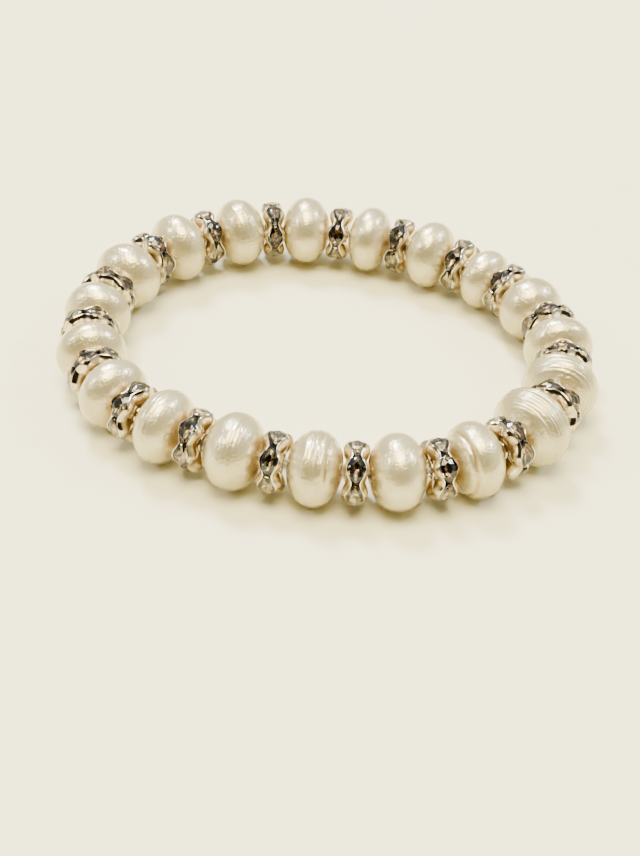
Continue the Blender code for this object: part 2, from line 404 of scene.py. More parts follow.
def make_facets() -> None:
    """Build the group that paints every facet of a stone its own share of light and shade, and a few of them
    a hue of painted fire.
    """
    hue_steps = 53.0
    plain, fiery = 0.80, 0.86
    tree, given, name = new_group(
        Effect.FACETS,
        {"Dark": (0.1, 0.1, 0.1), "Bright": (0.9, 0.9, 0.9), "Level": 0.5, "Softness": 0.3, "Fire": 0.5},
        ("NodeSocketColor", "Colour"))
    noted = tree.add("ShaderNodeAttribute", attribute_name="facet").outputs["Fac"]
    swing = tree.math("DIVIDE", tree.math("SUBTRACT", noted, given["Level"]), given["Softness"])
    share = tree.between(swing, -1.0, 1.0)
    turned = tree.math("FRACT", tree.math("MULTIPLY", noted, hue_steps))
    hue = tree.add("ShaderNodeCombineColor", {0: turned, 1: given["Fire"], 2: 1.0}, mode="HSV").outputs[0]
    fire = tree.blend(tree.between(noted, plain, fiery), (1.0, 1.0, 1.0), hue)
    lit = tree.blend(share, given["Dark"], given["Bright"])
    tinted = tree.add("ShaderNodeMix", {0: 1.0, 6: lit, 7: fire}, data_type="RGBA", blend_type="MULTIPLY")
    tree.add("NodeGroupOutput", {name: tinted.outputs[2]})


def effect_node(tree: Tree, effect: Effect, inputs: dict[str, object]) -> bpy.types.NodeSocket:
    """Place a shared group in a material.

    Args:
        tree: the material's tree.
        effect: which group.
        inputs: the group's own values here.

    Returns:
        The group's output.
    """
    return tree.add("ShaderNodeGroup", inputs, node_tree=bpy.data.node_groups[effect.value]).outputs[0]


def new_material(name: str, fixed: dict[str, object]) -> tuple[bpy.types.Material, Tree, bpy.types.Node]:
    """Make a material with a Principled shader whose constants stand on its own sockets.

    Args:
        name: the finish's name.
        fixed: the constants by socket name.

    Returns:
        The material, its tree and its shader.
    """
    material = bpy.data.materials.new(name)
    material.use_nodes = True
    shader = material.node_tree.nodes["Principled BSDF"]
    tree = Tree(material.node_tree)
    tree.fill(shader, fixed)
    return material, tree, shader


@dataclass(frozen=True)
class Nacre:
    """Cream nacre: a clouded satin body under a glossy skin, with shade painted warm at its ends and darker
    in its grooves.
    """

    name: str = "nacre"
    cream: Colour = (0.56, 0.48, 0.26)
    pale: Colour = (0.66, 0.59, 0.37)
    painted_warm_shade: Colour = (0.50, 0.34, 0.12)
    painted_deep_shade: Colour = (0.34, 0.23, 0.09)

    def material(self) -> bpy.types.Material:
        """Build the material."""
        material, tree, shader = new_material(self.name, {
            "Metallic": 0.55, "Coat Weight": 1.0, "Coat Roughness": 0.07, "Coat IOR": 1.6,
            "Specular Tint": (1.0, 0.86, 0.62),
            "Subsurface Weight": 0.12, "Subsurface Radius": Vector((1.0, 0.7, 0.45)),
            "Subsurface Scale": 0.8 * MM,
        })
        clouds = effect_node(tree, Effect.MOTTLE, {
            "Base": self.cream, "Cloud": self.pale, "Size": 160.0, "Amount": 0.9})
        ripple = effect_node(tree, Effect.GRAIN, {"Size": 900.0, "Middle": 0.0, "Spread": 3.0})
        orient = effect_node(tree, Effect.GRAIN, {"Size": 3200.0, "Middle": 0.0, "Spread": 4.5})
        tree.fill(shader, {
            # Base colour: the mottle with painted shade, warm at the poles and in shallow grooves, darker in
            # deep grooves.
            "Base Color": effect_node(tree, Effect.HOLLOW, {
                "Base": clouds, "Shade": self.painted_warm_shade, "Deep": self.painted_deep_shade}),
            "Roughness": effect_node(tree, Effect.GRAIN, {"Size": 600.0, "Middle": 0.15, "Spread": 0.14}),
            "Normal": tree.bump(tree.math("ADD", ripple, orient), 1.0),
        })
        return material


@dataclass(frozen=True)
class SilverPlate:
    """Bright plated metal with faint wear, painted ochre on its cups where shade and the pearls' warm
    reflection fall, and painted black as shade in the seats under its stones.
    """

    name: str = "silver_plate"
    bright: Colour = (0.93, 0.90, 0.85)
    warm: Colour = (0.84, 0.77, 0.66)
    painted_ochre_shade: Colour = (0.62, 0.50, 0.29)
    painted_black_shade: Colour = (0.02, 0.015, 0.01)

    def material(self) -> bpy.types.Material:
        """Build the material."""
        material, tree, shader = new_material(self.name, {"Metallic": 1.0})
        plate = effect_node(tree, Effect.MOTTLE, {
            "Base": self.bright, "Cloud": self.warm, "Size": 900.0, "Amount": 0.5})
        dents = effect_node(tree, Effect.GRAIN, {"Size": 1800.0, "Middle": 0.0, "Spread": 1.0})
        tree.fill(shader, {
            # Base colour: the mottled plate with painted shade, ochre with the pearls' warm reflection on the
            # cups, black in the seats.
            "Base Color": effect_node(tree, Effect.HOLLOW, {
                "Base": plate, "Shade": self.painted_ochre_shade, "Deep": self.painted_black_shade}),
            "Roughness": effect_node(tree, Effect.GRAIN, {"Size": 2500.0, "Middle": 0.14, "Spread": 0.12}),
            "Normal": tree.bump(dents, 0.25),
        })
        return material


@dataclass(frozen=True)
class Rhinestone:
    """Clear cut glass, a little smoky, with light and shade painted on it unevenly from facet to facet."""

    name: str = "rhinestone"
    clear: Colour = (0.90, 0.83, 0.66)
    smoke_and_painted_shade: Colour = (0.30, 0.25, 0.17)

    def material(self) -> bpy.types.Material:
        """Build the material."""
        material, tree, shader = new_material(self.name, {
            "Metallic": 0.0, "Transmission Weight": 1.0, "IOR": 1.52, "Roughness": 0.0})
        # Base colour: the glass's tint painted lighter or darker facet by facet, as painted light and shade,
        # with painted coloured fire on a few.
        tree.fill(shader, {"Base Color": effect_node(tree, Effect.FACETS, {
            "Dark": self.smoke_and_painted_shade, "Bright": self.clear, "Level": 0.58, "Softness": 0.10, "Fire": 0.35})})
        return material


@dataclass(frozen=True)
class Foil:
    """The mirror foil on the back of a stone, painted with smoky shade on most of its facets and left bright
    on the rest.
    """

    name: str = "stone_foil"
    mirror: Colour = (0.84, 0.72, 0.48)
    smoke_and_painted_shade: Colour = (0.20, 0.155, 0.095)

    def material(self) -> bpy.types.Material:
        """Build the material."""
        material, tree, shader = new_material(self.name, {"Metallic": 1.0, "Roughness": 0.06})
        # Base colour: painted shade on most facets and bright mirror on the rest, with painted coloured fire
        # on a few.
        tree.fill(shader, {"Base Color": effect_node(tree, Effect.FACETS, {
            "Dark": self.smoke_and_painted_shade, "Bright": self.mirror, "Level": 0.60, "Softness": 0.05, "Fire": 0.42})})
        return material


@dataclass(frozen=True)
class ClearElastic:
    """Clear stretch cord, slightly milky."""

    name: str = "clear_elastic"
    clear: Colour = (0.86, 0.84, 0.78)
    milky: Colour = (0.93, 0.92, 0.88)

    def material(self) -> bpy.types.Material:
        """Build the material."""
        material, tree, shader = new_material(self.name, {
            "Roughness": 0.25, "Transmission Weight": 0.5, "IOR": 1.45})
        tree.fill(shader, {"Base Color": effect_node(tree, Effect.MOTTLE, {
            "Base": self.clear, "Cloud": self.milky, "Size": 300.0, "Amount": 1.0})})
        return material


# Pearls

@dataclass(frozen=True)
class Ridge:
    """A raised or sunk line across the string on a pearl's skin.

    Attributes:
        place: from pole to pole, -1 to 1.
        height: above the skin in millimetres, below it where negative.
        width: in half lengths of the pearl.
        wobble: how far the line strays from its place.
        phase: where on the pearl it strays, in degrees.
        centre: the middle of its reach round the pearl, in degrees from inwards towards up.
        reach: how far it runs either way from there, in degrees.
        lean: how far its place shifts for every radian from its centre.
    """

    place: float
    height: float
    width: float
    wobble: float = 0.0
    phase: float = 0.0
    centre: float = 90.0
    reach: float = 360.0
    lean: float = 0.0

    def lift(self, place: np.ndarray, turn: np.ndarray) -> np.ndarray:
        """Return the ridge's height at every corner.

        Args:
            place: the corners' places from pole to pole.
            turn: the corners' angles round the string, in radians.

        Returns:
            The heights in millimetres.
        """
        away = np.angle(np.exp(1j * (turn - radians(self.centre))))
        line = self.place + self.wobble * np.sin(2 * turn + radians(self.phase)) + self.lean * away
        fade = np.exp(-(away / radians(self.reach)) ** 4)
        return self.height * np.exp(-((place - line) / self.width) ** 2) * fade


def growth_rings(count: int, first: float, last: float, height: float, seed: int) -> tuple[Ridge, ...]:
    """Space uneven growth rings along a pearl.

    Args:
        count: how many rings.
        first: the place of the first one.
        last: the place of the last one.
        height: their mean height in millimetres.
        seed: the start of their unevenness.

    Returns:
        The rings.
    """
    chance = np.random.default_rng(seed)
    step = (last - first) / max(count - 1, 1)
    rings = []
    for k in range(count):
        rings.append(Ridge(
            place=first + step * (k + chance.uniform(-0.22, 0.22)),
            height=height * chance.uniform(0.55, 1.35),
            width=step * chance.uniform(0.24, 0.38),
            wobble=step * chance.uniform(0.1, 0.35),
            phase=chance.uniform(0.0, 360.0),
            centre=chance.uniform(0.0, 360.0),
            reach=chance.uniform(110.0, 400.0),
        ))
    return tuple(rings)


class Form(Enum):
    """The pearls' forms, each with the ridges on its skin."""

    SMOOTH = ()
    FLANGED = (
        Ridge(-0.74, 0.20, 0.10), Ridge(-0.56, -0.16, 0.07), Ridge(-0.44, 0.05, 0.06),
        Ridge(-0.28, -0.03, 0.03, 0.01), Ridge(0.62, 0.03, 0.05, 0.02),
    )
    RINGED = growth_rings(18, -0.88, 0.88, 0.12, 5)
    BANDED = growth_rings(14, -0.84, 0.86, 0.10, 11)
    FAINT_RINGED = growth_rings(6, -0.7, 0.75, 0.030, 23)
    LINED = (
        Ridge(-0.16, -0.05, 0.035, 0.015, 40.0), Ridge(-0.02, 0.035, 0.04, 0.015, 40.0),
        Ridge(0.10, -0.045, 0.03, 0.01, 60.0), Ridge(0.30, -0.02, 0.03, 0.02, 10.0),
    )
    RIDGED = (
        Ridge(0.02, 0.05, 0.045, 0.02, 0.0, 128.0, 34.0, 0.05),
        Ridge(0.17, 0.07, 0.045, 0.02, 90.0, 118.0, 38.0, -0.04),
        Ridge(0.31, 0.08, 0.045, 0.02, 200.0, 126.0, 40.0, 0.03),
        Ridge(0.46, 0.05, 0.045, 0.02, 30.0, 118.0, 40.0),
        Ridge(0.74, 0.04, 0.05, 0.02, 30.0, 140.0, 70.0),
    )
    WRINKLED = (
        Ridge(-0.62, 0.05, 0.05, 0.02, 20.0, 100.0, 50.0, 0.03),
        Ridge(-0.44, -0.06, 0.045, 0.02, 70.0, 98.0, 46.0),
        Ridge(-0.30, 0.08, 0.05, 0.02, 150.0, 100.0, 48.0, -0.05),
        Ridge(-0.08, -0.07, 0.05, 0.02, 0.0, 96.0, 50.0),
        Ridge(0.08, 0.11, 0.045, 0.02, 60.0, 102.0, 50.0, 0.05),
        Ridge(0.20, -0.10, 0.04, 0.01, 220.0, 108.0, 52.0),
        Ridge(0.34, 0.11, 0.045, 0.02, 90.0, 104.0, 54.0),
        Ridge(0.48, -0.09, 0.045, 0.01, 0.0, 110.0, 58.0),
        Ridge(0.62, 0.08, 0.045, 0.02, 120.0, 100.0, 60.0),
        Ridge(0.76, -0.05, 0.04, 0.0, 0.0, 100.0, 60.0),
        Ridge(0.27, 0.17, 0.12, 0.0, 0.0, 140.0, 15.0),
        Ridge(0.44, -0.10, 0.05, 0.0, 0.0, 140.0, 20.0),
    )
    STREAKED = (
        Ridge(-0.30, 0.030, 0.05, 0.02, 0.0, 60.0, 50.0, 0.35),
        Ridge(0.0, -0.030, 0.05, 0.02, 90.0, 60.0, 50.0, 0.32),
        Ridge(0.25, 0.028, 0.05, 0.02, 180.0, 60.0, 50.0, 0.30),
    )


@dataclass(frozen=True)
class PearlSkin:
    """One pearl's looks: its form, and how uneven its body is, as a share of its radius."""

    form: Form = Form.SMOOTH
    unevenness: float = 0.008


@dataclass
class Pearls:
    """The nineteen pearls, each pressed from one drilled blank.

    Attributes:
        hole: the drill hole's diameter.
        usual_across: a usual pearl's diameter, which says how wide the hole is in the blank.
        weld: how far apart the blank's doubled corners may be.
        roundness: the power of the outline; 2 makes an ellipse, and more a squarer one.
        sides: the blank's corners round the string.
        rings: its rings from pole to pole.
        lumps: the body's lumps, as waves round the string and swings along it.
        ridge_fade: over which share of the half length ridges fade at a pole.
        end_shade: how strongly a pole is painted with warm shade.
        end_from: at which share of the half length the painted shade at the ends begins.
        end_reach: over which share they darken.
        dark_depth: the depth in millimetres at which a groove's painted shade is full.
        skins: each pearl's looks.
        made: the finished pearls.
    """

    hole: float = 1.1 * MM
    usual_across: float = 10.0 * MM
    weld: float = 1e-6
    roundness: float = 2.1
    sides: int = 96
    rings: int = 120
    lumps: tuple[tuple[int, int], ...] = ((1, 2), (2, 1), (2, 3), (3, 2), (4, 3))
    ridge_fade: float = 0.12
    end_shade: float = 0.45
    end_from: float = 0.70
    end_reach: float = 0.25
    dark_depth: float = 0.30
    skins: tuple[PearlSkin, ...] = (
        PearlSkin(), PearlSkin(Form.FLANGED), PearlSkin(Form.RINGED, 0.012), PearlSkin(Form.BANDED, 0.012),
        PearlSkin(Form.FAINT_RINGED), PearlSkin(), PearlSkin(), PearlSkin(), PearlSkin(), PearlSkin(),
        PearlSkin(Form.STREAKED), PearlSkin(), PearlSkin(), PearlSkin(), PearlSkin(), PearlSkin(),
        PearlSkin(Form.LINED), PearlSkin(Form.RIDGED), PearlSkin(Form.WRINKLED, 0.014),
    )
    made: list[bpy.types.Object] = field(default_factory=list)

    def blank(self) -> bpy.types.Object:
        """Make a round bead one unit in radius, drill it from pole to pole and return it."""
        put_down()
        bpy.ops.mesh.primitive_uv_sphere_add(segments=self.sides, ring_count=self.rings, radius=1.0)
        bead = bpy.context.object
        drilled = self.hole / self.usual_across
        with editing(bead):
            pick(bead, "VERT", lambda corner: corner.co.xy.length < drilled)
            bpy.ops.mesh.delete(type="VERT")
            pick(bead, "EDGE", lambda edge: edge.is_boundary)
            bpy.ops.mesh.bridge_edge_loops()
        tidy_skin(bead, self.weld)
        return bead

    def shape(self, pearl: bpy.types.Object, seat: Seat, skin: PearlSkin, seed: int) -> None:
        """Press a blank into one pearl: its size, its flattened ends, its lumps and its ridges.

        Args:
            pearl: the blank, which is changed.
            seat: the pearl's size and place.
            skin: the pearl's looks.
            seed: the start of its unevenness.
        """
        unit = corners(pearl)
        place = np.clip(unit[:, 2], -1.0, 1.0)
        turn = np.arctan2(unit[:, 1], unit[:, 0])
        radius = (1 - np.abs(place) ** self.roundness) ** (1 / self.roundness)
        chance = np.random.default_rng(seed)
        lumps = np.zeros(len(unit))
        for waves, swings in self.lumps:
            size = chance.normal() / waves
            around = np.sin(waves * turn + chance.uniform(0, 2 * pi))
            lumps += size * around * np.cos(swings * place + chance.uniform(0, 2 * pi))
        lift = sum((ridge.lift(place, turn) for ridge in skin.form.value), np.zeros(len(unit)))
        fade = np.clip((1 - np.abs(place)) / self.ridge_fade, 0.0, 1.0)
        across = seat.across / 2 * radius * (1 + skin.unevenness * lumps) + lift * fade * MM
        across *= -seat.across / 2 / (across * np.sin(turn)).min()
        across = np.maximum(across, self.hole / 2)
        inwards, upwards = across * np.cos(turn), across * np.sin(turn)
        move_corners(pearl, np.stack((inwards, upwards, place * seat.length / 2), 1))
        # Painted warm shade at the poles, where the pearl meets its rondelles, and painted shade in its
        # grooves, noted on the corners.
        painted_ends = self.end_shade * np.clip((np.abs(place) - self.end_from) / self.end_reach, 0.0, 1.0)
        note(pearl, "POINT", "hollow", np.clip(painted_ends - lift * fade / self.dark_depth, 0.0, 1.0))

    def make(self, nacre: bpy.types.Material) -> None:
        """Make, place and dress all the pearls, in their finish."""
        blank = self.blank()
        for number, skin in enumerate(self.skins, 1):
            node = f"pearl_{number:02d}"
            seat = pearl_seat(node)
            pearl = copy_of(blank, f"nacre_{node}")
            self.shape(pearl, seat, skin, number)
            pearl.data.transform(seat.matrix())
            pearl.data.materials.append(nacre)
            take(pearl)
            bpy.ops.object.shade_smooth()
            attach(pearl, "root")
            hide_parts(node)
            self.made.append(pearl)
            log.info("%s: %s, %.1f by %.1f mm", pearl.name, skin.form.name.lower(), seat.across / MM,
                     seat.length / MM)
        discard(blank)


# Rondelles

@dataclass(frozen=True)
class Station:
    """One ring of the setting's upper half, as radius and height in millimetres, at a stone and at a neck.

    Attributes:
        stone: radius and height over the middle of a stone.
        neck: radius and height between two stones.
        hollow: how strongly shade is painted on it, 0.5 for the ochre shade and warm reflection and 1 for
            black shade.
        hold: how long the ring keeps its stone's form towards the neck; below 1 it keeps it longer.
    """

    stone: tuple[float, float]
    neck: tuple[float, float]
    hollow: float = 0.0
    hold: float = 0.9


@dataclass
class Setting:
    """The metal of a rondelle: two wavy cups on a hub, which meet at necks between the stones.

    Attributes:
        sides: its corners round the string.
        stones: how many stones it holds.
        lip: the number of the outermost station; the stones' seats begin after it.
        bridge: how far the bright strip at a neck reaches, where the seats' painted shade is left off, as a
            sine of the wave's half angle.
        crease: the angle from which an edge stays sharp.
        stations: its rings, from the drill hole out over the cup and back in to the seats.
    """

    sides: int = 96
    stones: int = 6
    lip: int = 15
    bridge: float = 0.12
    crease: float = radians(50.0)
    stations: tuple[Station, ...] = (
        Station((0.75, 0.0), (0.75, 0.0)), Station((0.75, 1.20), (0.75, 1.20)),
        Station((0.82, 1.29), (0.82, 1.29)), Station((1.18, 1.30), (1.18, 1.30)),
        Station((1.30, 1.24), (1.30, 1.22), 0.2), Station((1.36, 1.12), (1.36, 1.06), 0.5),
        Station((1.60, 1.14), (1.60, 1.06), 0.5), Station((2.00, 1.32), (2.00, 1.12), 0.4),
        Station((2.45, 1.52), (2.40, 1.16), 0.34), Station((2.90, 1.65), (2.80, 1.12), 0.28),
        Station((3.25, 1.66), (3.15, 1.01), 0.28), Station((3.55, 1.56), (3.42, 0.87), 0.34),
        Station((3.76, 1.43), (3.60, 0.75), 0.48), Station((3.88, 1.33), (3.69, 0.67), 0.62),
        Station((3.97, 1.26), (3.77, 0.60), 0.30), Station((4.00, 1.22), (3.79, 0.55)),
        Station((3.97, 1.18), (3.77, 0.50)), Station((3.87, 1.15), (3.70, 0.44), 0.6, 0.7),
        Station((3.62, 1.08), (3.62, 0.34), 1.0, 0.45), Station((3.30, 0.92), (3.59, 0.23), 1.0, 0.3),
        Station((2.85, 0.52), (3.58, 0.11), 1.0, 0.22), Station((2.68, 0.0), (3.58, 0.0), 1.0, 0.22),
    )

    def lathe(self) -> bpy.types.Object:
        """Extrude the upper half ring by ring, round and without its waves, and return it."""
        put_down()
        first = self.stations[0].stone
        bpy.ops.mesh.primitive_circle_add(
            vertices=self.sides, radius=first[0] * MM, location=(0.0, 0.0, first[1] * MM))
        cup = bpy.context.object
        with editing(cup):
            bpy.ops.mesh.select_all(action="SELECT")
            for behind, ahead in zip(self.stations, self.stations[1:]):
                rise = (ahead.stone[1] - behind.stone[1]) * MM
                bpy.ops.mesh.extrude_region_move(TRANSFORM_OT_translate={"value": (0.0, 0.0, rise)})
                grow = ahead.stone[0] / behind.stone[0]
                bpy.ops.transform.resize(value=(grow, grow, 1.0), center_override=(0.0, 0.0, 0.0))
        return cup

    def wave(self, cup: bpy.types.Object) -> None:
        """Press the waves into the half setting, towards each station's form at the necks."""
        places = corners(cup)
        stone = np.array([station.stone for station in self.stations]) * MM
        neck = np.array([station.neck for station in self.stations]) * MM
        hold = np.array([station.hold for station in self.stations])
        radius = np.hypot(places[:, 0], places[:, 1])
        turn = np.arctan2(places[:, 1], places[:, 0])
        away = np.hypot(radius[:, None] - stone[:, 0], places[:, 2][:, None] - stone[:, 1])
        nearest = away.argmin(1)
        share = (0.5 + 0.5 * np.cos(self.stones * turn)) ** hold[nearest]
        radius = neck[nearest, 0] + (stone[nearest, 0] - neck[nearest, 0]) * share
        height = neck[nearest, 1] + (stone[nearest, 1] - neck[nearest, 1]) * share
        move_corners(cup, np.stack((radius * np.cos(turn), radius * np.sin(turn), height), 1))
        # The painted shade: ochre shade and warm reflection over the cups, black shade in the seats, left off
        # at the necks.
        hollow = np.array([station.hollow for station in self.stations])[nearest]
        from_neck = np.abs(np.sin(self.stones * (turn / 2 + pi / self.stones / 2)))
        bridged = hollow * np.clip(from_neck / self.bridge, 0.0, 1.0)
        note(cup, "POINT", "hollow", np.where(nearest > self.lip, bridged, hollow))

    def make(self, silver: bpy.types.Material) -> bpy.types.Object:
        """Model one setting at the origin, in its finish, and return it."""
        cup = self.lathe()
        self.wave(cup)
        mirror = cup.modifiers.new("lower_cup", "MIRROR")
        mirror.use_axis = (False, False, True)
        mirror.merge_threshold = 2 * WELD
        finish_modifier(cup, mirror.name)
        tidy_skin(cup)
        take(cup)
        bpy.ops.object.shade_smooth_by_angle(angle=self.crease)
        cup.data.materials.append(silver)
        return cup


@dataclass(frozen=True)
class GemRing:
    """One ring of a stone's corners.

    Attributes:
        size: its reach, as a share of the stone's half length and half width.
        height: above the girdle, as a share of the stone's depth.
        corners: how many corners it has.
        half_step: whether it is turned by half a corner.
    """

    size: float
    height: float
    corners: int
    half_step: bool = False


@dataclass
class Stones:
    """The stones of a rondelle: lozenge brilliants with a foil on their backs, cut once and copied.

    Attributes:
        count: how many stones a rondelle has.
        half_length: half a stone's length, round the rondelle.
        half_width: half its width, along the string.
        depth: the unit of its rings' heights.
        lozenge: the power of its outline; 2 makes an ellipse, and 1 a plain lozenge.
        end_drop: how far its ends drop below its sides, as a share of the depth.
        table_slack: how far below the table a corner has to be to drop.
        girdle_radius: how far its girdle stands from the string.
        foil_gap: the gap between the stone and its foil.
        foil_thickness: the foil's thickness.
        foil_slope: how far down a face has to look to have foil.
        tilt: how far a stone may lean.
        rings: its rings of corners, from the table down.
    """

    count: int = 6
    half_length: float = 1.80 * MM
    half_width: float = 1.14 * MM
    depth: float = 1.0 * MM
    lozenge: float = 1.55
    end_drop: float = 0.38
    table_slack: float = 0.001
    girdle_radius: float = 3.80 * MM
    foil_gap: float = 0.012 * MM
    foil_thickness: float = 0.03 * MM
    foil_slope: float = 0.05
    tilt: float = radians(2.5)
    rings: tuple[GemRing, ...] = (
        GemRing(0.42, 0.30, 8), GemRing(0.64, 0.25, 8, True), GemRing(0.84, 0.145, 16),
        GemRing(1.00, 0.02, 16, True), GemRing(1.00, -0.05, 16, True), GemRing(0.78, -0.24, 16),
        GemRing(0.52, -0.42, 8, True), GemRing(0.28, -0.53, 8), GemRing(0.06, -0.60, 8, True),
    )

    def cut(self) -> bpy.types.Object:
        """Cut one stone, as the hull of its rings of corners, with its girdle's sides near z = 0.

        The rings are drawn out to lozenges. Below the flat table, the stone's ends are lower than its sides.

        Returns:
            The stone.
        """
        put_down()
        parts = []
        for ring in self.rings:
            bpy.ops.mesh.primitive_circle_add(
                vertices=ring.corners, radius=ring.size, location=(0.0, 0.0, ring.height),
                rotation=(0.0, 0.0, pi / ring.corners if ring.half_step else 0.0))
            bpy.ops.object.transform_apply(location=True, rotation=True, scale=False)
            parts.append(bpy.context.object)
        stone = joined("lozenge_stone", parts)
        places = corners(stone)
        size = np.hypot(places[:, 0], places[:, 1])
        drawn = (np.abs(places[:, :2]) ** self.lozenge).sum(1) ** (1 / self.lozenge)
        places[:, :2] *= (size / drawn)[:, None]
        below = places[:, 2] < self.rings[0].height - self.table_slack
        places[below, 2] -= self.end_drop * places[below, 0] ** 2
        move_corners(stone, places)
        with editing(stone):
            bpy.ops.mesh.select_all(action="SELECT")
            bpy.ops.mesh.convex_hull()
            bpy.ops.mesh.select_all(action="SELECT")
            bpy.ops.transform.resize(
                value=(self.half_length, self.half_width, self.depth), center_override=(0.0, 0.0, 0.0))
            bpy.ops.mesh.normals_make_consistent(inside=False)
        return stone

    def back(self, stone: bpy.types.Object, foil: bpy.types.Material) -> bpy.types.Object:
        """Make the foil that covers a stone's pavilion.

        Args:
            stone: the stone, which is copied.
            foil: the foil's finish.

        Returns:
            The foil, a thin closed shell just clear of the stone.
        """
        shell = copy_of(stone, "foil_back")
        with editing(shell):
            pick(shell, "FACE", lambda face: face.normal.z > -self.foil_slope)
            bpy.ops.mesh.delete(type="FACE")
            bpy.ops.mesh.select_all(action="SELECT")
            bpy.ops.transform.translate(value=(0.0, 0.0, -self.foil_gap))
        wall = shell.modifiers.new("foil_wall", "SOLIDIFY")
        wall.thickness = self.foil_thickness
        wall.offset = 1.0
        finish_modifier(shell, wall.name)
        shell.data.materials.clear()
        shell.data.materials.append(foil)
        return shell

    def around(self, name: str, piece: bpy.types.Object, seed: int) -> bpy.types.Object:
        """Copy a piece to every stone's place round a rondelle at the origin.

        Args:
            name: the name of the whole.
            piece: a stone or its foil, with its girdle near z = 0.
            seed: the start of the stones' small tilts.

        Returns:
            The copies, joined.
        """
        chance = np.random.default_rng(seed)
        table_outwards = Matrix(((0, 0, 1, 0), (1, 0, 0, 0), (0, 1, 0, 0), (0, 0, 0, 1)))
        outwards = Matrix.Translation((self.girdle_radius, 0.0, 0.0))
        copies = []
        for k in range(self.count):
            lean = Matrix.Rotation(chance.uniform(-1, 1) * self.tilt, 4, "X")
            lean = lean @ Matrix.Rotation(chance.uniform(-1, 1) * self.tilt, 4, "Y")
            twin = copy_of(piece, f"{name}_{k}")
            note(twin, "FACE", "facet", chance.uniform(size=len(twin.data.polygons)))
            round_the_string = Matrix.Rotation(2 * pi * k / self.count, 4, "Z")
            twin.data.transform(round_the_string @ outwards @ table_outwards @ lean)
            copies.append(twin)
        return joined(name, copies)


@dataclass
class Rondelles:
    """The nineteen rondelles: a setting and its stones, each modelled once and copied.

    Attributes:
        count: how many there are.
        setting: their metal.
        stones: their stones.
        turned_on: how far a rondelle is turned on the string beyond its node, by number.
        made: the finished pieces.
    """

    count: int = 19
    setting: Setting = field(default_factory=Setting)
    stones: Stones = field(default_factory=Stones)
    turned_on: dict[int, float] = field(default_factory=lambda: {19: radians(-18.0)})
    made: list[bpy.types.Object] = field(default_factory=list)

    def place(self, piece: bpy.types.Object, seat: Seat, node: str, slot: str) -> None:
        """Lay a finished piece in its rondelle's place and tie it to the frame.

        Args:
            piece: the piece, at the origin in the rondelle's own axes.
            seat: the rondelle's seat.
            node: the node that it stands for.
            slot: not used.
        """
        piece.data.transform(seat.matrix())
        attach(piece, "root")
        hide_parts(node)
        self.made.append(piece)

    def make(self, silver: bpy.types.Material, glass: bpy.types.Material, foil: bpy.types.Material) -> None:
        """Make, place and dress all the rondelles, with metal, stones and foils in their finishes."""
        cups = self.setting.make(silver)
        stone = self.stones.cut()
        stone.data.materials.append(glass)
        back = self.stones.back(stone, foil)
        for number in range(1, self.count + 1):
            node = f"rondelle_{number:02d}"
            seat = rondelle_seat(node, self.stones.count)
            seat = replace(seat, turn=seat.turn + self.turned_on.get(number, 0.0))
            backs = self.stones.around(f"foils_{number:02d}", back, number)
            setting = joined(f"silver_{node}", [copy_of(cups, f"silver_{node}"), backs])
            self.place(setting, seat, node, "silver_plate")
            stones = self.stones.around(f"stones_{node}", stone, number)
            self.place(stones, seat, node, "rhinestone")
            log.info("%s and %s: turned %.0f degrees", setting.name, stones.name, degrees(seat.turn))
        for pattern in (cups, stone, back):
            discard(pattern)


# The string

@dataclass
class Elastic:
    """The elastic cord that carries the beads, a closed loop from pole to pole."""

    diameter: float = 0.7 * MM
    sides: int = 12
    beads: int = 19

    def make(self, clear: bpy.types.Material) -> None:
        """Sweep a round section along the string, in the cord's finish."""
        seats = [pearl_seat(f"pearl_{number:02d}") for number in range(1, self.beads + 1)]
        route = [seat.pole(side) for seat in seats for side in (-1, 1)]
        put_down()
        bpy.ops.curve.primitive_bezier_circle_add(radius=1.0)
        cord = bpy.context.object
        cord.name = "clear_elastic"
        cord.data.splines.clear()
        spline = cord.data.splines.new("POLY")
        spline.points.add(len(route) - 1)
        for point, place in zip(spline.points, route):
            point.co = (*place, 1.0)
        spline.use_cyclic_u = True
        cord.data.dimensions = "3D"
        cord.data.bevel_depth = self.diameter / 2
        cord.data.bevel_resolution = self.sides // 4
        take(cord)
        bpy.ops.object.convert(target="MESH")
        bpy.ops.object.shade_smooth()
        tidy_skin(cord)
        cord.data.materials.append(clear)
        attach(cord, "root")
        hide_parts("elastic_cord")
        log.info("%s: %d corners on its route", cord.name, len(route))


# The studio

@dataclass(frozen=True)
class SoftLight:
    """A round soft light that faces the bracelet.

    Attributes:
        name: the light's name.
        towards: the direction in which it stands, seen from the bracelet.
        away: its distance in metres.
        size: its diameter in metres.
        power: in watts.
        colour: its colour.
    """

    name: str
    towards: tuple[float, float, float]
    away: float
    size: float
    power: float
    colour: Colour = (1.0, 1.0, 1.0)

    def make(self) -> None:
        """Hang the light."""
        put_down()
        direction = Vector(self.towards).normalized()
        bpy.ops.object.light_add(type="AREA", location=direction * self.away)
        light = bpy.context.object
        light.name = self.name
        light.rotation_mode = "QUATERNION"
        light.rotation_quaternion = direction.to_track_quat("Z", "Y")
        light.data.shape = "DISK"
        light.data.size = self.size
        light.data.energy = self.power
        light.data.color = self.colour


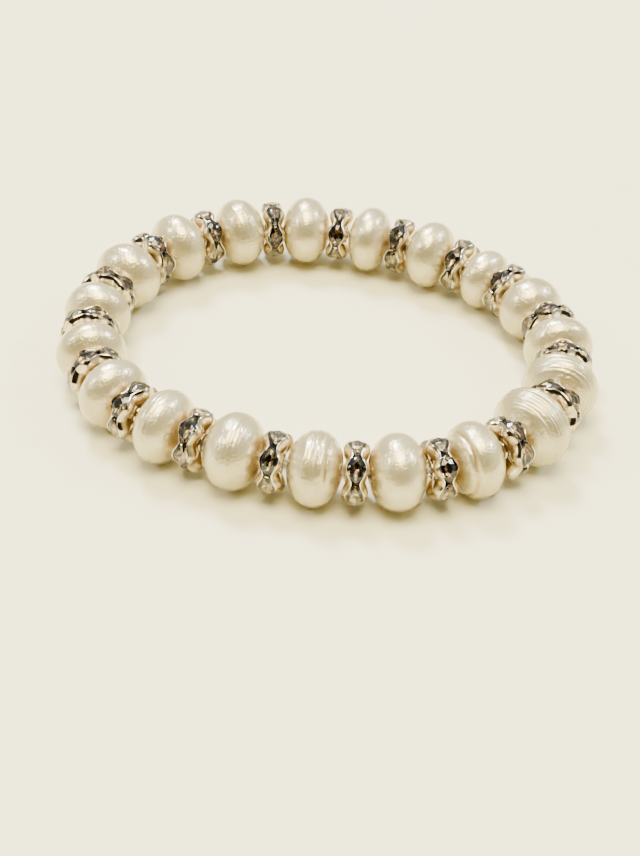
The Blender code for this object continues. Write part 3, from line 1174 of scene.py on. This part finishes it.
@dataclass
class Studio:
    """The pale floor, the soft lights and the camera at the photograph's angle.

    Attributes:
        floor_size: the side of the square floor, in metres.
        floor_colour: the floor's colour.
        floor_cloud: the colour of its faint clouds.
        room: the light of the room.
        room_front: its light in front, where it is dark.
        front: the direction of the dark part's middle.
        front_edge: the cosines from there at which the dark starts and is full.
        focal_pixels: the focal length, in the photograph's pixels.
        image_side: the photograph's longer side, in pixels.
        sensor: the camera's sensor, in millimetres.
        camera_place: in millimetres.
        pitch: how far the camera looks down.
        roll: how far it is rolled.
        clip: how near and how far it sees, in metres.
        lights: the soft lights.
    """

    floor_size: float = 14.0
    floor_colour: Colour = (0.87, 0.82, 0.56)
    floor_cloud: Colour = (0.90, 0.86, 0.62)
    room: Colour = (0.92, 0.93, 0.86)
    room_front: Colour = (0.02, 0.015, 0.01)
    front: tuple[float, float, float] = (-0.14, -0.86, 0.49)
    front_edge: tuple[float, float] = (0.42, 0.74)
    focal_pixels: float = 1500.0
    image_side: float = 856.0
    sensor: float = 36.0
    camera_place: tuple[float, float, float] = (-0.24, -171.09, 125.7)
    pitch: float = radians(38.67)
    roll: float = radians(3.24)
    clip: tuple[float, float] = (0.005, 20.0)
    lights: tuple[SoftLight, ...] = (
        SoftLight("overhead", (0.0, 0.40, 1.0), 2.7, 2.6, 18.0, (0.85, 0.93, 1.0)),
        SoftLight("back_window", (-0.25, 0.52, 0.82), 3.0, 0.78, 165.0, (0.88, 0.92, 1.0)),
        SoftLight("right_window", (0.72, 0.24, 0.67), 3.0, 0.56, 52.0, (0.92, 0.95, 1.0)),
        SoftLight("warm_lamp", (-0.02, -0.15, 0.98), 2.1, 1.30, 110.0, (1.0, 0.86, 0.46)),
        SoftLight("left_fill", (-0.75, -0.1, 0.63), 3.0, 0.56, 38.0, (1.0, 0.93, 0.80)),
    )

    def make_floor(self) -> None:
        """Lay the floor."""
        put_down()
        bpy.ops.mesh.primitive_plane_add(size=self.floor_size, location=(0.0, 0.0, 0.0))
        floor = bpy.context.object
        floor.name = "pale_floor"
        material, tree, shader = new_material("pale_floor", {"Roughness": 0.85, "Specular IOR Level": 0.25})
        tree.fill(shader, {"Base Color": effect_node(tree, Effect.MOTTLE, {
            "Base": self.floor_colour, "Cloud": self.floor_cloud, "Size": 6.0, "Amount": 0.6})})
        floor.data.materials.append(material)

    def make_surroundings(self) -> None:
        """Give the world a soft pale light, nearly black towards the side where the photographer stood."""
        world = bpy.data.worlds.new("soft_room")
        world.use_nodes = True
        tree = Tree(world.node_tree)
        way = tree.add("ShaderNodeTexCoord").outputs["Generated"]
        toward = tree.add(
            "ShaderNodeVectorMath", {0: way, 1: Vector(self.front).normalized()}, operation="DOT_PRODUCT")
        share = tree.between(toward.outputs["Value"], *self.front_edge)
        background = world.node_tree.nodes["Background"]
        tree.fill(background, {"Color": tree.blend(share, self.room, self.room_front)})
        bpy.context.scene.world = world

    def make_camera(self) -> None:
        """Stand the camera where the photograph was taken."""
        forward = Vector((0.0, cos(self.pitch), -sin(self.pitch)))
        level = Vector((1.0, 0.0, 0.0))
        upright = level.cross(forward)
        right = level * cos(self.roll) + upright * sin(self.roll)
        up = upright * cos(self.roll) - level * sin(self.roll)
        axes = Matrix((right, up, -forward)).transposed().to_4x4()
        put_down()
        bpy.ops.object.camera_add()
        camera = bpy.context.object
        camera.name = "photo_camera"
        camera.matrix_world = Matrix.Translation(Vector(self.camera_place) * MM) @ axes
        camera.data.sensor_width = self.sensor
        camera.data.lens = self.focal_pixels / self.image_side * self.sensor
        camera.data.clip_start, camera.data.clip_end = self.clip
        bpy.context.scene.camera = camera

    def make(self) -> None:
        """Set up the whole studio."""
        self.make_floor()
        self.make_surroundings()
        for light in self.lights:
            light.make()
        self.make_camera()
        log.info("studio: %d lights, view %.1f degrees wide", len(self.lights),
                 2 * degrees(atan(self.image_side / 2 / self.focal_pixels)))


def main() -> None:
    """Build the bracelet around the frame, in order, and set up the studio."""
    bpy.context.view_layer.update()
    for make_effect in (make_mottle, make_grain, make_painted_shade, make_facets):
        make_effect()
    pearls = Pearls()
    pearls.make(Nacre().material())
    rondelles = Rondelles()
    rondelles.make(SilverPlate().material(), Rhinestone().material(), Foil().material())
    Elastic().make(ClearElastic().material())
    Studio().make()
    put_down()
    log.info("%d pearls, %d rondelle pieces", len(pearls.made), len(rondelles.made))


if __name__ == "__main__":
    main()
